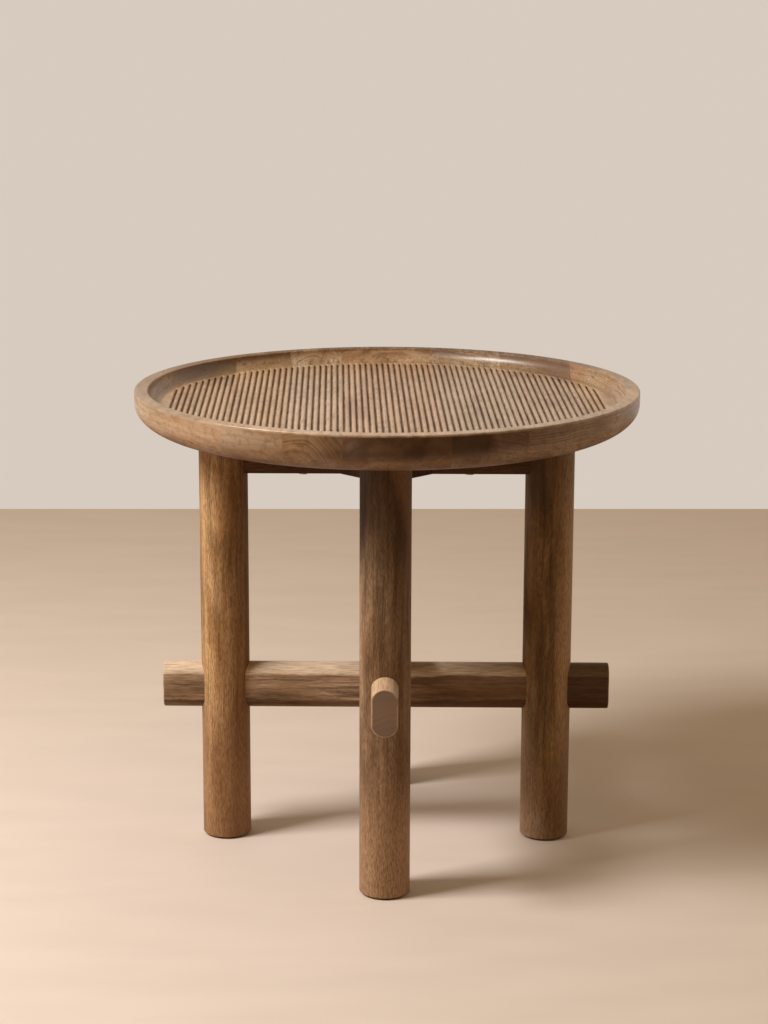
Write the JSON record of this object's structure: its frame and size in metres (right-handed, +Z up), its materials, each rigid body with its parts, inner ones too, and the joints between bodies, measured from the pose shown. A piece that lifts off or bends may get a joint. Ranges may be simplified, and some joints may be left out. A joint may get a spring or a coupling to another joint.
{
  "type": "side table",
  "caption": "Round wooden side table: a dished tray top with a reeded field, on round legs joined by crossing through bars low down and lapped rails under the top.",
  "frame": {"origin": "on the floor, under the centre of the round top", "axes": "+Z up; the lower of the two crossing bars lies along X; the planks and the reeds run along Y, with the front towards -Y"},
  "size_m": [0.5, 0.5, 0.468],
  "materials": {
    "top_wood": "satin",
    "leg_wood": "satin",
    "bar_wood": "satin",
    "rail_wood": "satin",
    "felt": "matt felt",
    "screw_steel": "zinc plated"
  },
  "bodies": {
    "root": {"top_plank_1": "top_wood", "top_plank_2": "top_wood", "top_plank_3": "top_wood", "top_plank_4": "top_wood", "top_plank_5": "top_wood", "top_plank_6": "top_wood", "top_plank_7": "top_wood", "leg_left": "leg_wood", "leg_right": "leg_wood", "leg_front": "leg_wood", "leg_back": "leg_wood", "foot_pad_left": "felt", "foot_pad_right": "felt", "foot_pad_front": "felt", "foot_pad_back": "felt", "bar_side_to_side": "bar_wood", "bar_front_to_back": "bar_wood", "rail_side_to_side": "rail_wood", "rail_front_to_back": "rail_wood", "corner_block_front_left": "rail_wood", "corner_block_front_right": "rail_wood", "corner_block_back_left": "rail_wood", "corner_block_back_right": "rail_wood", "rail_screws": "screw_steel"}
  },
  "joints": []
}
